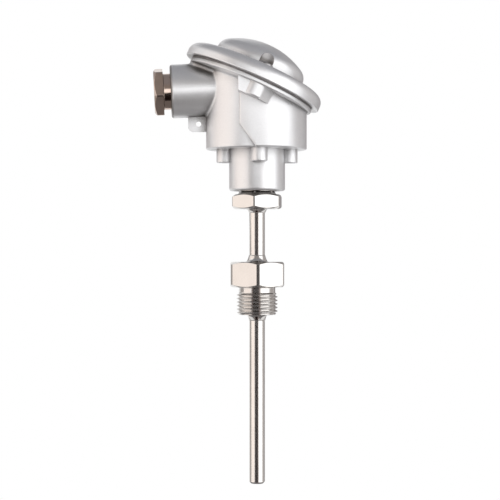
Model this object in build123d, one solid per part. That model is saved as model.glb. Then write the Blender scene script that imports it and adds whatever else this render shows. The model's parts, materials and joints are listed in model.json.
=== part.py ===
from build123d import *
import os
from math import cos, radians, sin, sqrt, tan

os.makedirs("parts", exist_ok=True)

# A sheathed thermocouple with a cast connection head, in millimetres
# Z runs up the stem and the cable entry points along -X
# The origin is on the stem axis at the upper end of the process thread

# Protection tube
tube_diameter = 8.0
tube_wall = 1.0
insertion_length = 100.0
tip_thickness = 2.0
tip_chamfer = 0.8

# Process fitting with a G 1/2 pipe thread
thread_diameter = 20.955
thread_length = 11.2
thread_chamfer = 0.9
relief_diameter = 18.6
relief_length = 2.8
process_hex = 27.0
process_hex_height = 12.9
process_hex_angle = -91.7
collar_diameter = 11.6
collar_height = 3.4
lower_cone_diameter = 10.8
lower_cone_height = 3.0
hex_chamfer_angle = 30.0
hex_chamfer_reach = 0.6

# Head adapter with an M20 thread
bare_neck_length = 26.9
adapter_hex = 24.0
adapter_hex_height = 7.4
adapter_hex_angle = -100.0
adapter_cone_diameter = 11.2
adapter_cone_height = 2.0
adapter_relief_height = 1.8
adapter_relief_lower = 19.8
adapter_relief_upper = 17.6
adapter_thread_diameter = 20.0
adapter_thread_length = 11.0

# Cast connection head
neck_diameter = 28.5
neck_length = 21.0
neck_edge_round = 1.2
chamber_radius = 25.3
block_radius = 21.7
block_offset = 4.3
casting_wall = 2.8
floor_thickness = 3.0
base_edge_round = 0.7
crease_edge_round = 0.8
crease_wall = 3.3
root_round = 1.5
crease_x = -10.2
crease_height = 11.5
crease_foot_x = -2.1
neck_thread_depth = 15.0
neck_passage_radius = 8.0
lug_pitch_radius = 16.5
lug_diameter = 8.4
lug_drop = 6.8
lug_edge_round = 0.6
mounting_hole_depth = 9.5
standoff_height = 2.0
standoff_diameter = 8.0

# Tilted joint between the head and its cover
cover_tilt = 23.5
cover_center_x = -2.7
joint_height = 33.5
gasket_thickness = 0.6
gasket_width = 2.1
gasket_inset = 0.3
gasket_to_hollow = 0.4
flange_reach = 8.0
cover_overhang = 3.2
flange_thickness = 2.2
flange_edge_round = 0.7
flange_lip_round = 0.4
boss_edge_round = 0.8
screw_boss_diameter = 11.0
screw_boss_drop = 8.7
screw_edge_distance = 9.5
tapped_hole_floor = 1.5
screw_shift = 2.2
screw_web_reach = 10.7
web_side_x = -11.2

# Cable entry boss and its sealing-wire eye
entry_droop = 2.8
entry_face_x = -44.0
entry_drop = 4.1
entry_diameter = 27.2
entry_length = 30.0
entry_edge_round = 1.2
entry_thread_diameter = 20.0
entry_bore_depth = 17.3
entry_passage_radius = 7.5
entry_passage_depth = 26.0
eye_outer_x = -35.1
eye_bottom = 9.0
eye_thickness = 3.0
eye_round = 2.5
eye_sink = 1.0
eye_hole_radius = 1.4
eye_hole_x = -29.8
eye_hole_rise = 4.0

# Cover
cover_rim_height = 7.4
cover_edge_round = 4.6
cover_lip_round = 0.5
cover_wall = 2.6
dome_diameter = 47.3
dome_height = 13.8
dome_crown_radius = 40.0
dome_shoulder_round = 6.0
screw_pad_radius = 3.6
screw_pocket_radius = 5.0

# Cover screws
cover_screw_diameter = 4.0
cover_screw_head_diameter = 7.4
cover_screw_head_height = 2.2
cover_screw_depth = 5.5
cover_screw_head_round = 0.8
screw_seat_depth = 1.0
screw_seat_room = 0.5
recess_angle = 20
recess_width = 1.0
recess_length = 4.8
recess_depth = 1.5

# Gland screw, washer and seal in the cable entry
gland_hex = 22.0
gland_hex_height = 4.75
gland_hex_angle = -14.5
gland_neck_diameter = 18.3
gland_neck_length = 3.7
gland_thread_length = 8.0
gland_bore_radius = 5.5
gland_washer_thickness = 1.0
gland_seal_length = 7.5
cable_hole_radius = 4.0

# Ceramic terminal block with its brass bars and screws
terminal_length = 42.0
terminal_width = 24.0
terminal_base = 5.0
island_length = 22.0
island_height = 4.0
island_inset = 0.3
bar_length = 17.0
bar_width = 8.0
bar_height = 6.0
bar_offset = 5.6
bar_sink = 3.0
bar_chamfer = 0.4
clamp_spacing = 5.4
clamp_screw_diameter = 4.0
clamp_head_diameter = 7.0
clamp_head_height = 2.6
clamp_screw_depth = 5.4
clamp_slot_angle = 35
mounting_screw_diameter = 4.0
mounting_head_diameter = 7.0
mounting_head_height = 2.6
mounting_hole_room = 1.0
mounting_slot_angle = 25
head_edge_round = 0.5
slot_width = 1.0
slot_depth = 1.2

# Ceramic beads and thermocouple wires inside the tube
bead_count = 8
bead_diameter = 5.4
bead_stand = 9.0
bead_gap = 0.1
bead_bore_radius = 0.65
wire_diameter = 1.0
wire_spacing = 2.6
wire_bend_radius = 2.5
wire_rise = 1.2
wire_lead = 1.2
junction_radius = 0.7

# Clearances between pieces that fit together
thread_clearance = 0.05
slip_clearance = 0.05
weld_lip = 0.1
seat_clearance = 0.05
loose_clearance = 0.2

# Heights that follow from the sizes above
seat_z = relief_length
tip_z = seat_z - insertion_length
process_top_z = seat_z + process_hex_height
adapter_z = process_top_z + bare_neck_length
adapter_top_z = adapter_z + adapter_hex_height
neck_z = adapter_top_z + adapter_relief_height
base_z = neck_z + neck_length
floor_z = base_z + floor_thickness
terminal_z = floor_z + standoff_height
adapter_end_z = neck_z + adapter_thread_length
string_z = tip_z + tip_thickness + 2 * junction_radius
string_top_z = adapter_end_z + bead_stand
junction_top_z = tip_z + tip_thickness + 1.5 * junction_radius
bead_pitch = (string_top_z - string_z) / bead_count

# The cover's own frame: x down the slope, y across and z away from the joint
tilt = radians(cover_tilt)
cover_frame = Plane(
    origin=(cover_center_x, 0, base_z + joint_height),
    x_dir=(cos(tilt), 0, -sin(tilt)),
    z_dir=(sin(tilt), 0, cos(tilt)),
)
flange_radius = chamber_radius + flange_reach
cover_diameter = 2 * (flange_radius + cover_overhang)
flange_top = -gasket_thickness / 2
cover_seat = gasket_thickness / 2
cover_top = cover_seat + cover_rim_height
cover_screw_seat = cover_top - screw_seat_depth
flange_bottom = flange_top - flange_thickness
boss_bottom = flange_top - screw_boss_drop
screw_radius = cover_diameter / 2 - screw_edge_distance
screw_y = sqrt(screw_radius**2 - screw_shift**2)
gasket_outer_radius = flange_radius - gasket_inset
gasket_inner_radius = gasket_outer_radius - gasket_width
cover_inner_radius = gasket_inner_radius - gasket_to_hollow

# The cable entry's own frame: x towards -Y, y up and z out of the head
entry_height = joint_height - entry_drop
droop = radians(entry_droop)
entry_frame = Plane(
    origin=(entry_face_x, 0, base_z + entry_height),
    x_dir=(0, -1, 0),
    z_dir=(-cos(droop), 0, -sin(droop)),
)
entry_thread_radius = entry_thread_diameter / 2


def disc(radius, low, high):
    """A cylinder about Z between two heights."""
    return Pos(0, 0, low) * Cylinder(
        radius, high - low, align=(Align.CENTER, Align.CENTER, Align.MIN)
    )


def cone(low_radius, high_radius, low, high):
    """A truncated cone about Z between two heights."""
    return Pos(0, 0, low) * Cone(
        low_radius, high_radius, high - low, align=(Align.CENTER, Align.CENTER, Align.MIN)
    )


def block(x_low, x_high, y_low, y_high, z_low, z_high):
    """A box between two corners."""
    middle = Pos((x_low + x_high) / 2, (y_low + y_high) / 2, (z_low + z_high) / 2)
    return middle * Box(x_high - x_low, y_high - y_low, z_high - z_low)


def prism(points, low, high):
    """A polygon drawn in XY and raised between two heights."""
    outline = make_face(Polyline(*points, close=True))
    return Pos(0, 0, low) * extrude(outline, high - low)


def side_prism(points, half_width):
    """A polygon drawn in XZ and spread to both sides along Y."""
    outline = Plane.XZ * make_face(Polyline(*points, close=True))
    return extrude(outline, half_width, both=True)


def obround(length, width, low, high):
    """A bar along Y with round ends, between two heights."""
    outline = Rot(0, 0, 90) * SlotOverall(length, width)
    return Pos(0, 0, low) * extrude(outline, high - low)


def turned(points):
    """A solid turned about Z from an outline of radius and height pairs."""
    outline = Plane.XZ * make_face(Polyline(*points, close=True))
    return revolve(outline, Axis.Z)


def hexagon(across_flats, low, high, turn, chamfer_low=True):
    """A hexagon bar whose ends are turned off at the chamfer angle."""
    outline = RegularPolygon(across_flats / 2, 6, major_radius=False, rotation=turn)
    bar = Pos(0, 0, low) * extrude(outline, high - low)
    face_radius = across_flats / 2 - hex_chamfer_reach
    corner_radius = across_flats / sqrt(3) + hex_chamfer_reach
    drop = (corner_radius - face_radius) * tan(radians(hex_chamfer_angle))
    profile = [(0, high), (0, low)]
    if chamfer_low:
        profile += [(face_radius, low), (corner_radius, low + drop)]
    else:
        profile += [(corner_radius, low)]
    profile += [(corner_radius, high - drop), (face_radius, high)]
    return bar & turned(profile)


def top_edges(part, height):
    """The circular edges of a part that lie at one height."""
    return part.edges().filter_by(GeomType.CIRCLE).filter_by(
        lambda edge: abs(edge.center().Z - height) < 1e-4
    )


def make_protection_tube():
    """The closed tube from the tip up to the top of the adapter."""
    radius = tube_diameter / 2
    outer = disc(radius, tip_z, adapter_end_z)
    outer = chamfer(top_edges(outer, tip_z), tip_chamfer)
    return outer - disc(radius - tube_wall, tip_z + tip_thickness, adapter_end_z)


def make_process_fitting():
    """The hexagon with its pipe thread and the cones that meet the tube."""
    radius = thread_diameter / 2
    thread = disc(radius, -thread_length, 0)
    thread = chamfer(top_edges(thread, -thread_length), thread_chamfer)
    thread = chamfer(top_edges(thread, 0), (radius - relief_diameter / 2) / 2)
    hex_bar = hexagon(process_hex, seat_z, process_top_z, process_hex_angle)
    bore_radius = tube_diameter / 2 + slip_clearance
    body = thread + disc(relief_diameter / 2, 0, seat_z) + hex_bar
    body += cone(collar_diameter / 2, bore_radius + weld_lip, process_top_z, process_top_z + collar_height)
    body += cone(
        bore_radius + weld_lip,
        lower_cone_diameter / 2,
        -thread_length - lower_cone_height,
        -thread_length,
    )
    return body - disc(bore_radius, -thread_length - lower_cone_height, process_top_z + collar_height)


def make_head_adapter():
    """The hexagon adapter that carries the tube and screws into the head."""
    bore_radius = tube_diameter / 2 + slip_clearance
    thread = disc(adapter_thread_diameter / 2, neck_z, adapter_end_z)
    thread = chamfer(top_edges(thread, adapter_end_z), thread_chamfer)
    body = hexagon(adapter_hex, adapter_z, adapter_top_z, adapter_hex_angle)
    body += cone(adapter_relief_lower / 2, adapter_relief_upper / 2, adapter_top_z, neck_z)
    cone_z = adapter_z - adapter_cone_height
    body += cone(bore_radius + weld_lip, adapter_cone_diameter / 2, cone_z, adapter_z)
    body += thread
    return body - disc(bore_radius, adapter_z - adapter_cone_height, adapter_end_z)


def make_screw_boss(side):
    """The boss under the flange for one cover screw, with its webs to the wall."""
    boss_radius = screw_boss_diameter / 2
    y_screw = side * screw_y
    post = disc(boss_radius, boss_bottom, flange_top)
    post = fillet(top_edges(post, boss_bottom), boss_edge_round)
    post = Pos(screw_shift, y_screw, 0) * post
    outer_y = y_screw + side * boss_radius * cos(radians(45))
    inner_y = side * (chamber_radius - casting_wall)
    flank_x = screw_shift + boss_radius * cos(radians(45))
    web = prism(
        [
            (screw_shift - 3 * boss_radius, inner_y),
            (screw_shift - 3 * boss_radius, outer_y),
            (flank_x, outer_y),
            (screw_shift + screw_web_reach, inner_y),
        ],
        boss_bottom,
        flange_top,
    )
    boss = cover_frame * (post + web)
    side_cut = block(
        web_side_x,
        2 * chamber_radius,
        -2 * chamber_radius,
        2 * chamber_radius,
        base_z,
        base_z + 2 * joint_height,
    )
    return boss & side_cut


def make_crease_side(high, inset):
    """The space on the chamber's side of the crease, set in along X."""
    outline = [
        (crease_x + inset, high),
        (crease_x + inset, base_z + crease_height),
        (crease_foot_x + inset, base_z),
        (2 * chamber_radius, base_z),
        (2 * chamber_radius, high),
    ]
    return side_prism(outline, 2 * chamber_radius)


def make_head_cavity():
    """The open inside of the casting, its outline set in by the wall."""
    high = base_z + 2 * joint_height
    inner_chamber = disc(chamber_radius - casting_wall, floor_z, high)
    inner_chamber &= make_crease_side(high, crease_wall)
    inner_block = Pos(-block_offset, 0, 0) * disc(block_radius - casting_wall, floor_z, high)
    return inner_chamber + inner_block


def lies_on_crease(edge):
    """Whether an edge is an outer corner of the chamber's stepped side."""
    center = edge.center()
    upright = edge.geom_type == GeomType.LINE and abs(center.X - crease_x) < 1e-3
    slanted = edge.geom_type not in (GeomType.LINE, GeomType.CIRCLE)
    return (upright and abs(center.Y) > chamber_radius / 2) or slanted


def lies_at_entry_root(edge):
    """Whether an edge is where the entry or the block meets another face."""
    curved = edge.geom_type not in (GeomType.LINE, GeomType.CIRCLE)
    return curved and edge.center().X < -block_offset - block_radius / 2


def make_head_body():
    """The cast housing: chamber, flange, neck, lugs, bosses and cable entry."""
    high = base_z + 2 * joint_height
    above_joint = cover_frame * disc(3 * chamber_radius, flange_top, flange_top + 4 * joint_height)
    chamber = disc(chamber_radius, base_z, high) & make_crease_side(high, 0)
    chamber = fillet(chamber.edges().filter_by(lies_on_crease), crease_edge_round)
    shell = chamber + Pos(-block_offset, 0, 0) * disc(block_radius, base_z, high)
    shell = fillet(shell.edges().group_by(Axis.Z)[0], base_edge_round) - above_joint
    entry = disc(entry_diameter / 2, -entry_length, 0)
    entry = fillet(top_edges(entry, 0), entry_edge_round)
    shell += entry_frame * entry - above_joint
    flange = disc(flange_radius, flange_bottom, flange_top)
    flange = fillet(top_edges(flange, flange_bottom), flange_edge_round)
    flange = fillet(top_edges(flange, flange_top), flange_lip_round)
    shell += cover_frame * flange
    shell = fillet(shell.edges().filter_by(lies_at_entry_root), root_round)
    for side in (-1, 1):
        shell += make_screw_boss(side)
    eye_top = base_z + entry_height - entry_diameter / 2 + eye_sink
    eye = side_prism(
        [
            (eye_outer_x, base_z + eye_bottom),
            (-block_offset - block_radius + casting_wall, base_z + eye_bottom),
            (-block_offset - block_radius + casting_wall, eye_top),
            (eye_outer_x, eye_top),
        ],
        eye_thickness / 2,
    )
    corner = eye.edges().filter_by(Axis.Y).sort_by(Axis.X)[:2].sort_by(Axis.Z)[0]
    eye = fillet(corner, eye_round)
    shell += eye
    shell -= make_head_cavity()

    neck = disc(neck_diameter / 2, neck_z, floor_z)
    neck = fillet(top_edges(neck, neck_z), neck_edge_round)
    shell += neck
    for quarter in range(4):
        lug = disc(lug_diameter / 2, base_z - lug_drop, floor_z)
        lug = fillet(top_edges(lug, base_z - lug_drop), lug_edge_round)
        shell += Rot(0, 0, 90 * quarter) * Pos(lug_pitch_radius, 0, 0) * lug
    for side in (-1, 1):
        at_lug = Pos(side * lug_pitch_radius, 0, 0)
        shell += at_lug * disc(standoff_diameter / 2, floor_z, terminal_z)
        hole_radius = mounting_screw_diameter / 2 + thread_clearance
        shell -= at_lug * disc(hole_radius, terminal_z - mounting_hole_depth, terminal_z)
        screw_hole = disc(
            cover_screw_diameter / 2 + thread_clearance, boss_bottom + tapped_hole_floor, flange_top
        )
        shell -= cover_frame * Pos(screw_shift, side * screw_y, 0) * screw_hole

    shell -= disc(adapter_thread_diameter / 2 + thread_clearance, neck_z, neck_z + neck_thread_depth)
    shell -= disc(neck_passage_radius, neck_z, floor_z)
    shell -= entry_frame * disc(entry_thread_radius + thread_clearance, -entry_bore_depth, 0)
    shell -= entry_frame * disc(entry_passage_radius, -entry_passage_depth, 0)
    eye_hole_z = base_z + eye_bottom + eye_hole_rise
    shell -= Pos(eye_hole_x, 0, eye_hole_z) * Rot(90, 0, 0) * Cylinder(eye_hole_radius, 2 * eye_thickness)
    return shell


def make_cover_gasket():
    """The flat ring between the flange and the cover."""
    ring = disc(gasket_outer_radius, flange_top, cover_seat - seat_clearance)
    return cover_frame * (ring - disc(gasket_inner_radius, flange_top, cover_seat))


def make_dome(radius, crown_radius, apex, shoulder, low):
    """A round pillar with a crowned top and a rounded shoulder."""
    pillar = disc(radius, low, apex) & Pos(0, 0, apex - crown_radius) * Sphere(crown_radius)
    shoulder_z = apex - crown_radius + sqrt(crown_radius**2 - radius**2)
    return fillet(top_edges(pillar, shoulder_z), shoulder)


def make_head_cover():
    """The round cover with its dome, its hollow and two screw pockets."""
    apex = cover_top + dome_height
    rim = disc(cover_diameter / 2, cover_seat, cover_top)
    rim = fillet(top_edges(rim, cover_top), cover_edge_round)
    rim = fillet(top_edges(rim, cover_seat), cover_lip_round)
    dome = make_dome(dome_diameter / 2, dome_crown_radius, apex, dome_shoulder_round, cover_seat)
    for side in (-1, 1):
        pocket = disc(screw_pocket_radius, cover_screw_seat, apex)
        dome -= Pos(screw_shift, side * screw_y, 0) * pocket
    hollow = disc(cover_inner_radius, cover_seat, cover_top - cover_wall)
    hollow += make_dome(
        dome_diameter / 2 - cover_wall,
        dome_crown_radius - cover_wall,
        apex - cover_wall,
        dome_shoulder_round - cover_wall,
        cover_seat,
    )
    cover = rim + dome - hollow
    for side in (-1, 1):
        at_screw = Pos(screw_shift, side * screw_y, 0)
        cover -= at_screw * disc(cover_screw_head_diameter / 2 + screw_seat_room, cover_screw_seat, apex)
        cover += at_screw * disc(screw_pad_radius, cover_seat, cover_screw_seat)
        hole_radius = cover_screw_diameter / 2 + loose_clearance
        cover -= at_screw * disc(hole_radius, cover_seat, cover_screw_seat)
    return cover_frame * cover


def make_cover_screw(side):
    """A cross-recessed pan-head screw in its pocket."""
    head_z = cover_screw_seat + seat_clearance
    head_top = head_z + cover_screw_head_height
    head = disc(cover_screw_head_diameter / 2, head_z, head_top)
    head = fillet(top_edges(head, head_top), cover_screw_head_round)
    for turn in (recess_angle, recess_angle + 90):
        arm = Rot(0, 0, turn) * Box(recess_length, recess_width, 2 * recess_depth)
        head -= Pos(0, 0, head_top) * arm
    shank = disc(cover_screw_diameter / 2, flange_top - cover_screw_depth, head_z)
    return cover_frame * Pos(screw_shift, side * screw_y, 0) * (head + shank)


def make_gland_screw():
    """The hollow hexagon screw that closes the cable entry."""
    outer_z = gland_neck_length + gland_hex_height
    body = hexagon(gland_hex, gland_neck_length, outer_z, gland_hex_angle, chamfer_low=False)
    body += disc(gland_neck_diameter / 2, 0, gland_neck_length)
    body += disc(entry_thread_radius, -gland_thread_length, 0)
    body -= disc(gland_bore_radius, -gland_thread_length, outer_z)
    return entry_frame * body


def make_gland_washer():
    """The plain washer between the gland screw and the seal."""
    high = -gland_thread_length - seat_clearance
    low = high - gland_washer_thickness
    ring = disc(entry_thread_radius - loose_clearance, low, high)
    return entry_frame * (ring - disc(gland_bore_radius, low, high))


def make_gland_seal():
    """The rubber bush that grips the cable."""
    low = -entry_bore_depth
    high = low + gland_seal_length
    ring = disc(entry_thread_radius - loose_clearance, low, high)
    return entry_frame * (ring - disc(cable_hole_radius, low, high))


def across_x(part):
    """Turns a piece that is drawn along Y so that it lies along X."""
    return Rot(0, 0, 90) * part


def make_terminal_block():
    """The ceramic block: a base, an island with two bar seats and wire holes."""
    island_z = terminal_z + terminal_base
    island_top = island_z + island_height
    body = obround(terminal_length, terminal_width, terminal_z, island_z)
    island = obround(terminal_length, terminal_width - 2 * island_inset, island_z, island_top)
    island &= block(
        -terminal_width, terminal_width, -island_length / 2, island_length / 2, island_z, island_top
    )
    body += island
    for side in (-1, 1):
        seat_x = side * bar_offset
        half_width = bar_width / 2 + loose_clearance
        half_length = bar_length / 2 + loose_clearance
        body -= block(
            seat_x - half_width,
            seat_x + half_width,
            -half_length,
            half_length,
            island_top - bar_sink,
            island_top,
        )
        body -= Pos(seat_x, 0, 0) * disc(
            wire_diameter / 2 + loose_clearance, terminal_z, island_top
        )
        at_lug = Pos(0, side * lug_pitch_radius, 0)
        body -= at_lug * disc(mounting_screw_diameter / 2 + loose_clearance, terminal_z, island_top)
    return across_x(body)


def make_slotted_screw(shank_diameter, head_diameter, head_height, low, head_z, turn):
    """A slotted cheese-head screw standing on Z."""
    head_top = head_z + head_height
    head = disc(head_diameter / 2, head_z, head_top)
    head = fillet(top_edges(head, head_top), head_edge_round)
    head -= Pos(0, 0, head_top) * Rot(0, 0, turn) * Box(
        2 * head_diameter, slot_width, 2 * slot_depth
    )
    return head + disc(shank_diameter / 2, low, head_z)


def make_terminal_bar(side):
    """A brass bar with a hole for its wire and two screw holes."""
    low = terminal_z + terminal_base + island_height - bar_sink
    high = low + bar_height
    bar = block(-bar_width / 2, bar_width / 2, -bar_length / 2, bar_length / 2, low, high)
    bar = chamfer(bar.edges().group_by(Axis.Z)[-1], bar_chamfer)
    bar -= disc(wire_diameter / 2 + thread_clearance, low, high)
    for end in (-1, 1):
        hole = disc(clamp_screw_diameter / 2 + thread_clearance, low, high)
        bar -= Pos(0, end * clamp_spacing, 0) * hole
    return across_x(Pos(side * bar_offset, 0, 0) * bar)


def make_clamp_screw(side, end):
    """One clamping screw on a brass bar."""
    head_z = terminal_z + terminal_base + island_height - bar_sink + bar_height
    screw = make_slotted_screw(
        clamp_screw_diameter,
        clamp_head_diameter,
        clamp_head_height,
        head_z - clamp_screw_depth,
        head_z,
        clamp_slot_angle * (side + 2 * end),
    )
    return across_x(Pos(side * bar_offset, end * clamp_spacing, 0) * screw)


def make_mounting_screw(side):
    """One screw that holds the ceramic block to the casting."""
    head_z = terminal_z + terminal_base
    screw = make_slotted_screw(
        mounting_screw_diameter,
        mounting_head_diameter,
        mounting_head_height,
        terminal_z - mounting_hole_depth + mounting_hole_room,
        head_z,
        mounting_slot_angle * side,
    )
    return across_x(Pos(0, side * lug_pitch_radius, 0) * screw)


def make_bead(index):
    """One two-bore ceramic bead of the string inside the tube."""
    low = string_z + index * bead_pitch
    high = low + bead_pitch - bead_gap
    bead = disc(bead_diameter / 2, low, high)
    for side in (-1, 1):
        bead -= Pos(side * wire_spacing / 2, 0, 0) * disc(bead_bore_radius, low, high)
    return across_x(bead)


def make_wire(side):
    """One thermocouple wire from the hot junction to its brass bar."""
    bars_top = terminal_z + terminal_base + island_height - bar_sink + bar_height
    inner_x = side * wire_spacing / 2
    outer_x = side * bar_offset
    path = FilletPolyline(
        (inner_x, 0, junction_top_z),
        (inner_x, 0, string_top_z + wire_lead),
        (outer_x, 0, terminal_z - wire_lead),
        (outer_x, 0, bars_top + wire_rise),
        radius=wire_bend_radius,
    )
    start = Plane(origin=(inner_x, 0, junction_top_z), z_dir=(0, 0, 1))
    return across_x(sweep(start * Circle(wire_diameter / 2), path=path))


def make_hot_junction():
    """The welded bead that joins the two wires at the tip."""
    center_z = tip_z + tip_thickness + junction_radius
    bar = Rot(0, 90, 0) * Cylinder(junction_radius, wire_spacing)
    for side in (-1, 1):
        bar += Pos(side * wire_spacing / 2, 0, 0) * Sphere(junction_radius)
    low = tip_z + tip_thickness
    keep = disc(2 * wire_spacing, low, junction_top_z)
    return across_x(Pos(0, 0, center_z) * bar & keep)


nodes = {
    "protection_tube": make_protection_tube(),
    "process_fitting": make_process_fitting(),
    "head_adapter": make_head_adapter(),
    "head_body": make_head_body(),
    "cover_gasket": make_cover_gasket(),
    "head_cover": make_head_cover(),
    "gland_screw": make_gland_screw(),
    "gland_washer": make_gland_washer(),
    "gland_seal": make_gland_seal(),
    "terminal_block": make_terminal_block(),
    "hot_junction": make_hot_junction(),
}
for side, place, pole in ((-1, "front", "negative"), (1, "rear", "positive")):
    nodes[f"cover_screw_{place}"] = make_cover_screw(side)
    nodes[f"terminal_bar_{pole}"] = make_terminal_bar(side)
    nodes[f"wire_{pole}"] = make_wire(side)
for end, row in ((-1, "far"), (1, "inlet")):
    nodes[f"mounting_screw_{row}"] = make_mounting_screw(end)
    for side, pole in ((-1, "negative"), (1, "positive")):
        nodes[f"clamp_screw_{pole}_{row}"] = make_clamp_screw(side, end)
for index in range(bead_count):
    nodes[f"ceramic_bead_{index + 1}"] = make_bead(index)

for name, shape in nodes.items():
    export_step(shape, f"parts/{name}.step")
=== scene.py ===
import json
import math

import bmesh
import bpy
import numpy as np
from bpy.props import FloatProperty, FloatVectorProperty, IntProperty, PointerProperty
from bpy.types import Operator, Panel, PropertyGroup
from mathutils import Matrix, Vector


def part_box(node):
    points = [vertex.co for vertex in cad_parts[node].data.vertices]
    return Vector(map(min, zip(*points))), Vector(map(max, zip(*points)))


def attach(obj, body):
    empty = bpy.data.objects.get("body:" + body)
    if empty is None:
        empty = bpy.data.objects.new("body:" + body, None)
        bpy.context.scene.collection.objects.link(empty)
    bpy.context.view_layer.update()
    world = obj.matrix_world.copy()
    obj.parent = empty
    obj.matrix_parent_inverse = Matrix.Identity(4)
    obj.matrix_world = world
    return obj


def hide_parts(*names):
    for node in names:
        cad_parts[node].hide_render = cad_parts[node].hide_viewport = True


bl_info = {
    "name": "Sensor With Connection Head",
    "version": (1, 0, 0),
    "blender": (4, 5, 0),
    "location": "View3D > Sidebar > Sensor",
    "description": "Threaded steel pieces, finishes and studio for a screw-in temperature sensor",
    "category": "Object",
}

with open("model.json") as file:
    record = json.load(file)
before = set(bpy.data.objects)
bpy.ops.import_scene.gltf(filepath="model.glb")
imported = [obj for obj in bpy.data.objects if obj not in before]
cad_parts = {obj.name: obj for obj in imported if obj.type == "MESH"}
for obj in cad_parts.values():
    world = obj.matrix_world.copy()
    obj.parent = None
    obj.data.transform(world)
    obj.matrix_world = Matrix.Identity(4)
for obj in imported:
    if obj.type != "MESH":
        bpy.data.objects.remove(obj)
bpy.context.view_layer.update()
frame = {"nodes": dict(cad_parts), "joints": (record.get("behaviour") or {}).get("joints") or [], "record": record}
mounts = {mount["name"]: mount for mount in frame["record"]["mounts"]}
joints = {joint["name"]: joint for joint in frame["joints"]}

MM = 0.001
HALF_HEX = math.radians(30)
PIPE_THREAD_DEPTH = 0.640327  # of a pitch
METRIC_THREAD_DEPTH = 0.6134  # of a pitch
METRIC_THREAD_RADIUS = 10 * MM
TUBE_GAP = 0.05 * MM
CONE_WALL = 0.1 * MM
CORNER_ROOM = 0.45  # most of a side that one rounded corner takes up
HOLLOW_SHARE = 0.55  # of a round hollow in a flare, the rest being a straight cone
MERGE_DISTANCE = 2e-7
TINY_EDGE = 1e-7


def length_property(name, description, default, precision=5):
    return FloatProperty(
        name=name, description=description, default=default, unit="LENGTH", precision=precision
    )


def angle_property(name, description, degrees):
    return FloatProperty(
        name=name, description=description, default=math.radians(degrees), subtype="ANGLE"
    )


def colour_property(name, description, default):
    return FloatVectorProperty(
        name=name, description=description, default=default, subtype="COLOR", size=3
    )


class SensorSizes(PropertyGroup):
    thread_radius: length_property(
        "Pipe thread radius",
        "Radius over the crests of the process thread",
        mounts["process_thread"]["dims"]["r_mm"] * MM,
    )
    thread_pitch: length_property(
        "Pipe thread pitch", "Advance of the process thread in one turn", 1.814 * MM, 6
    )
    thread_half_angle: angle_property(
        "Pipe thread half angle",
        "Half of the angle between two flanks of the process thread",
        27.5,
    )
    metric_pitch: length_property(
        "Metric pitch", "Advance of the adapter's and the gland's thread in one turn", 1.5 * MM, 6
    )
    metric_half_angle: angle_property(
        "Metric half angle", "Half of the angle between two flanks of the metric threads", 30
    )
    process_hex: length_property(
        "Process hexagon", "Width across the flats of the lower hexagon", 27 * MM
    )
    adapter_hex: length_property(
        "Adapter hexagon", "Width across the flats of the upper hexagon", 24 * MM
    )
    gland_hex: length_property(
        "Gland hexagon", "Width across the flats of the gland screw", 22 * MM
    )
    chamfer_reach: length_property(
        "Chamfer reach", "How far each hexagon's end face stays inside its flats", 0.6 * MM
    )
    process_corner_cut: length_property(
        "Process corner cut", "How much the lower hexagon's corners are turned off", 0.45 * MM
    )
    corner_cut: length_property(
        "Corner cut",
        "How much the corners of the upper hexagon and the gland are turned off",
        0.2 * MM,
    )
    edge_round: length_property(
        "Edge round", "Radius of the broken edges on the steel pieces", 0.16 * MM
    )
    columns: IntProperty(
        name="Columns",
        description="Number of even columns round each piece with a hexagon",
        default=144,
        min=48,
        max=256,
    )


class SensorFinishes(PropertyGroup):
    paint: colour_property(
        "Silver paint", "Colour of the painted castings", (0.76, 0.76, 0.77)
    )
    steel: colour_property(
        "Stainless steel", "Colour of the turned and drawn stainless pieces", (0.70, 0.68, 0.66)
    )
    nickel: colour_property(
        "Nickel plating", "Colour of the gland screw and its washer", (0.60, 0.48, 0.41)
    )
    zinc: colour_property("Zinc plating", "Colour of the screws", (0.36, 0.35, 0.35))
    brass: colour_property("Brass", "Colour of the terminal bars", (0.70, 0.52, 0.24))
    glaze: colour_property("Glazed ceramic", "Colour of the terminal block", (0.80, 0.78, 0.72))
    bead: colour_property("Bare ceramic", "Colour of the insulating beads", (0.78, 0.75, 0.66))
    rubber: colour_property("Rubber", "Colour of the gland seal", (0.018, 0.018, 0.019))
    dusty_rubber: colour_property(
        "Dusty rubber",
        "Colour of the cover gasket, greyed by dust in its joint",
        (0.13, 0.12, 0.12),
    )
    wire: colour_property(
        "Wire", "Colour of the thermocouple wires and their junction", (0.30, 0.28, 0.25)
    )


class SensorStudio(PropertyGroup):
    view_turn: angle_property("View turn", "Azimuth of the camera round the stem", -3.5)
    view_distance: length_property(
        "View distance", "Distance from the camera to the stem", 0.744
    )
    view_height: length_property(
        "View height", "Height of the camera over the frame's origin", 0.0217
    )
    view_slide: length_property(
        "View slide", "Sideways place of the camera, to the right of the stem's line", -0.0036
    )
    lens: FloatProperty(
        name="Lens", description="Focal length on a 36 mm sensor, in millimetres", default=105.0
    )
    lamp_level: FloatProperty(
        name="Lamp level", description="Brightness of the softboxes", default=1.0, min=0
    )
    ambient: FloatProperty(
        name="Ambient",
        description="Strength of the white room on matt surfaces",
        default=0.35,
        min=0,
    )
    floor_height: length_property(
        "Floor height", "Height of the floor under the hanging sensor", -0.26
    )


def hex_reach(angle, across_flats, corner_cut, turn):
    """Distance from the axis to a hexagon with turned-off corners, at an angle."""
    flat = across_flats / 2
    off_corner = abs((angle - turn + HALF_HEX) % (2 * HALF_HEX) - HALF_HEX)
    return min(flat / math.cos(HALF_HEX - off_corner), flat / math.cos(HALF_HEX) - corner_cut)


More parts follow.
